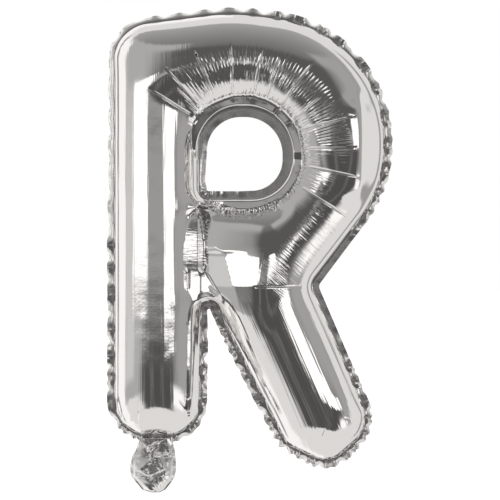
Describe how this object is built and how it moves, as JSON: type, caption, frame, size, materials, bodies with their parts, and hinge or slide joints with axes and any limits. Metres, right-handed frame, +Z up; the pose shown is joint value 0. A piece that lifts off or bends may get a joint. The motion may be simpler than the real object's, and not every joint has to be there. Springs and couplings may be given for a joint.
{
  "type": "letter-shaped foil balloon",
  "caption": "Air-filled silver foil balloon shaped as a capital letter, with front and back films, welded margins round the outside and the counter, and a folding fill tail.",
  "frame": {"origin": "middle of the letter's height and width, in its seam plane", "axes": "+Z up along the letter's stem, +X towards the bowl, -Y out of the letter's front"},
  "size_m": [0.2201, 0.0828, 0.3782],
  "materials": {
    "foil": "mirror-bright metallised film, drawn taut",
    "weld": "metallised film, heat sealed and puckered",
    "tail_foil": "metallised film, slack and crumpled",
    "valve_film": "clear thin film"
  },
  "bodies": {
    "balloon": {"front_film": "foil", "back_film": "foil", "outer_seam": "weld", "counter_seam": "weld"},
    "fill_tail": {"tail_front_film": "tail_foil", "tail_back_film": "tail_foil", "valve_sleeve": "valve_film"}
  },
  "joints": [
    {"name": "fill_tail_fold", "type": "hinge", "parent": "balloon", "child": "fill_tail", "pos_m": [-0.076, 0, -0.1516], "axis": [1, 0, 0], "range_deg": [-90, 90]}
  ]
}
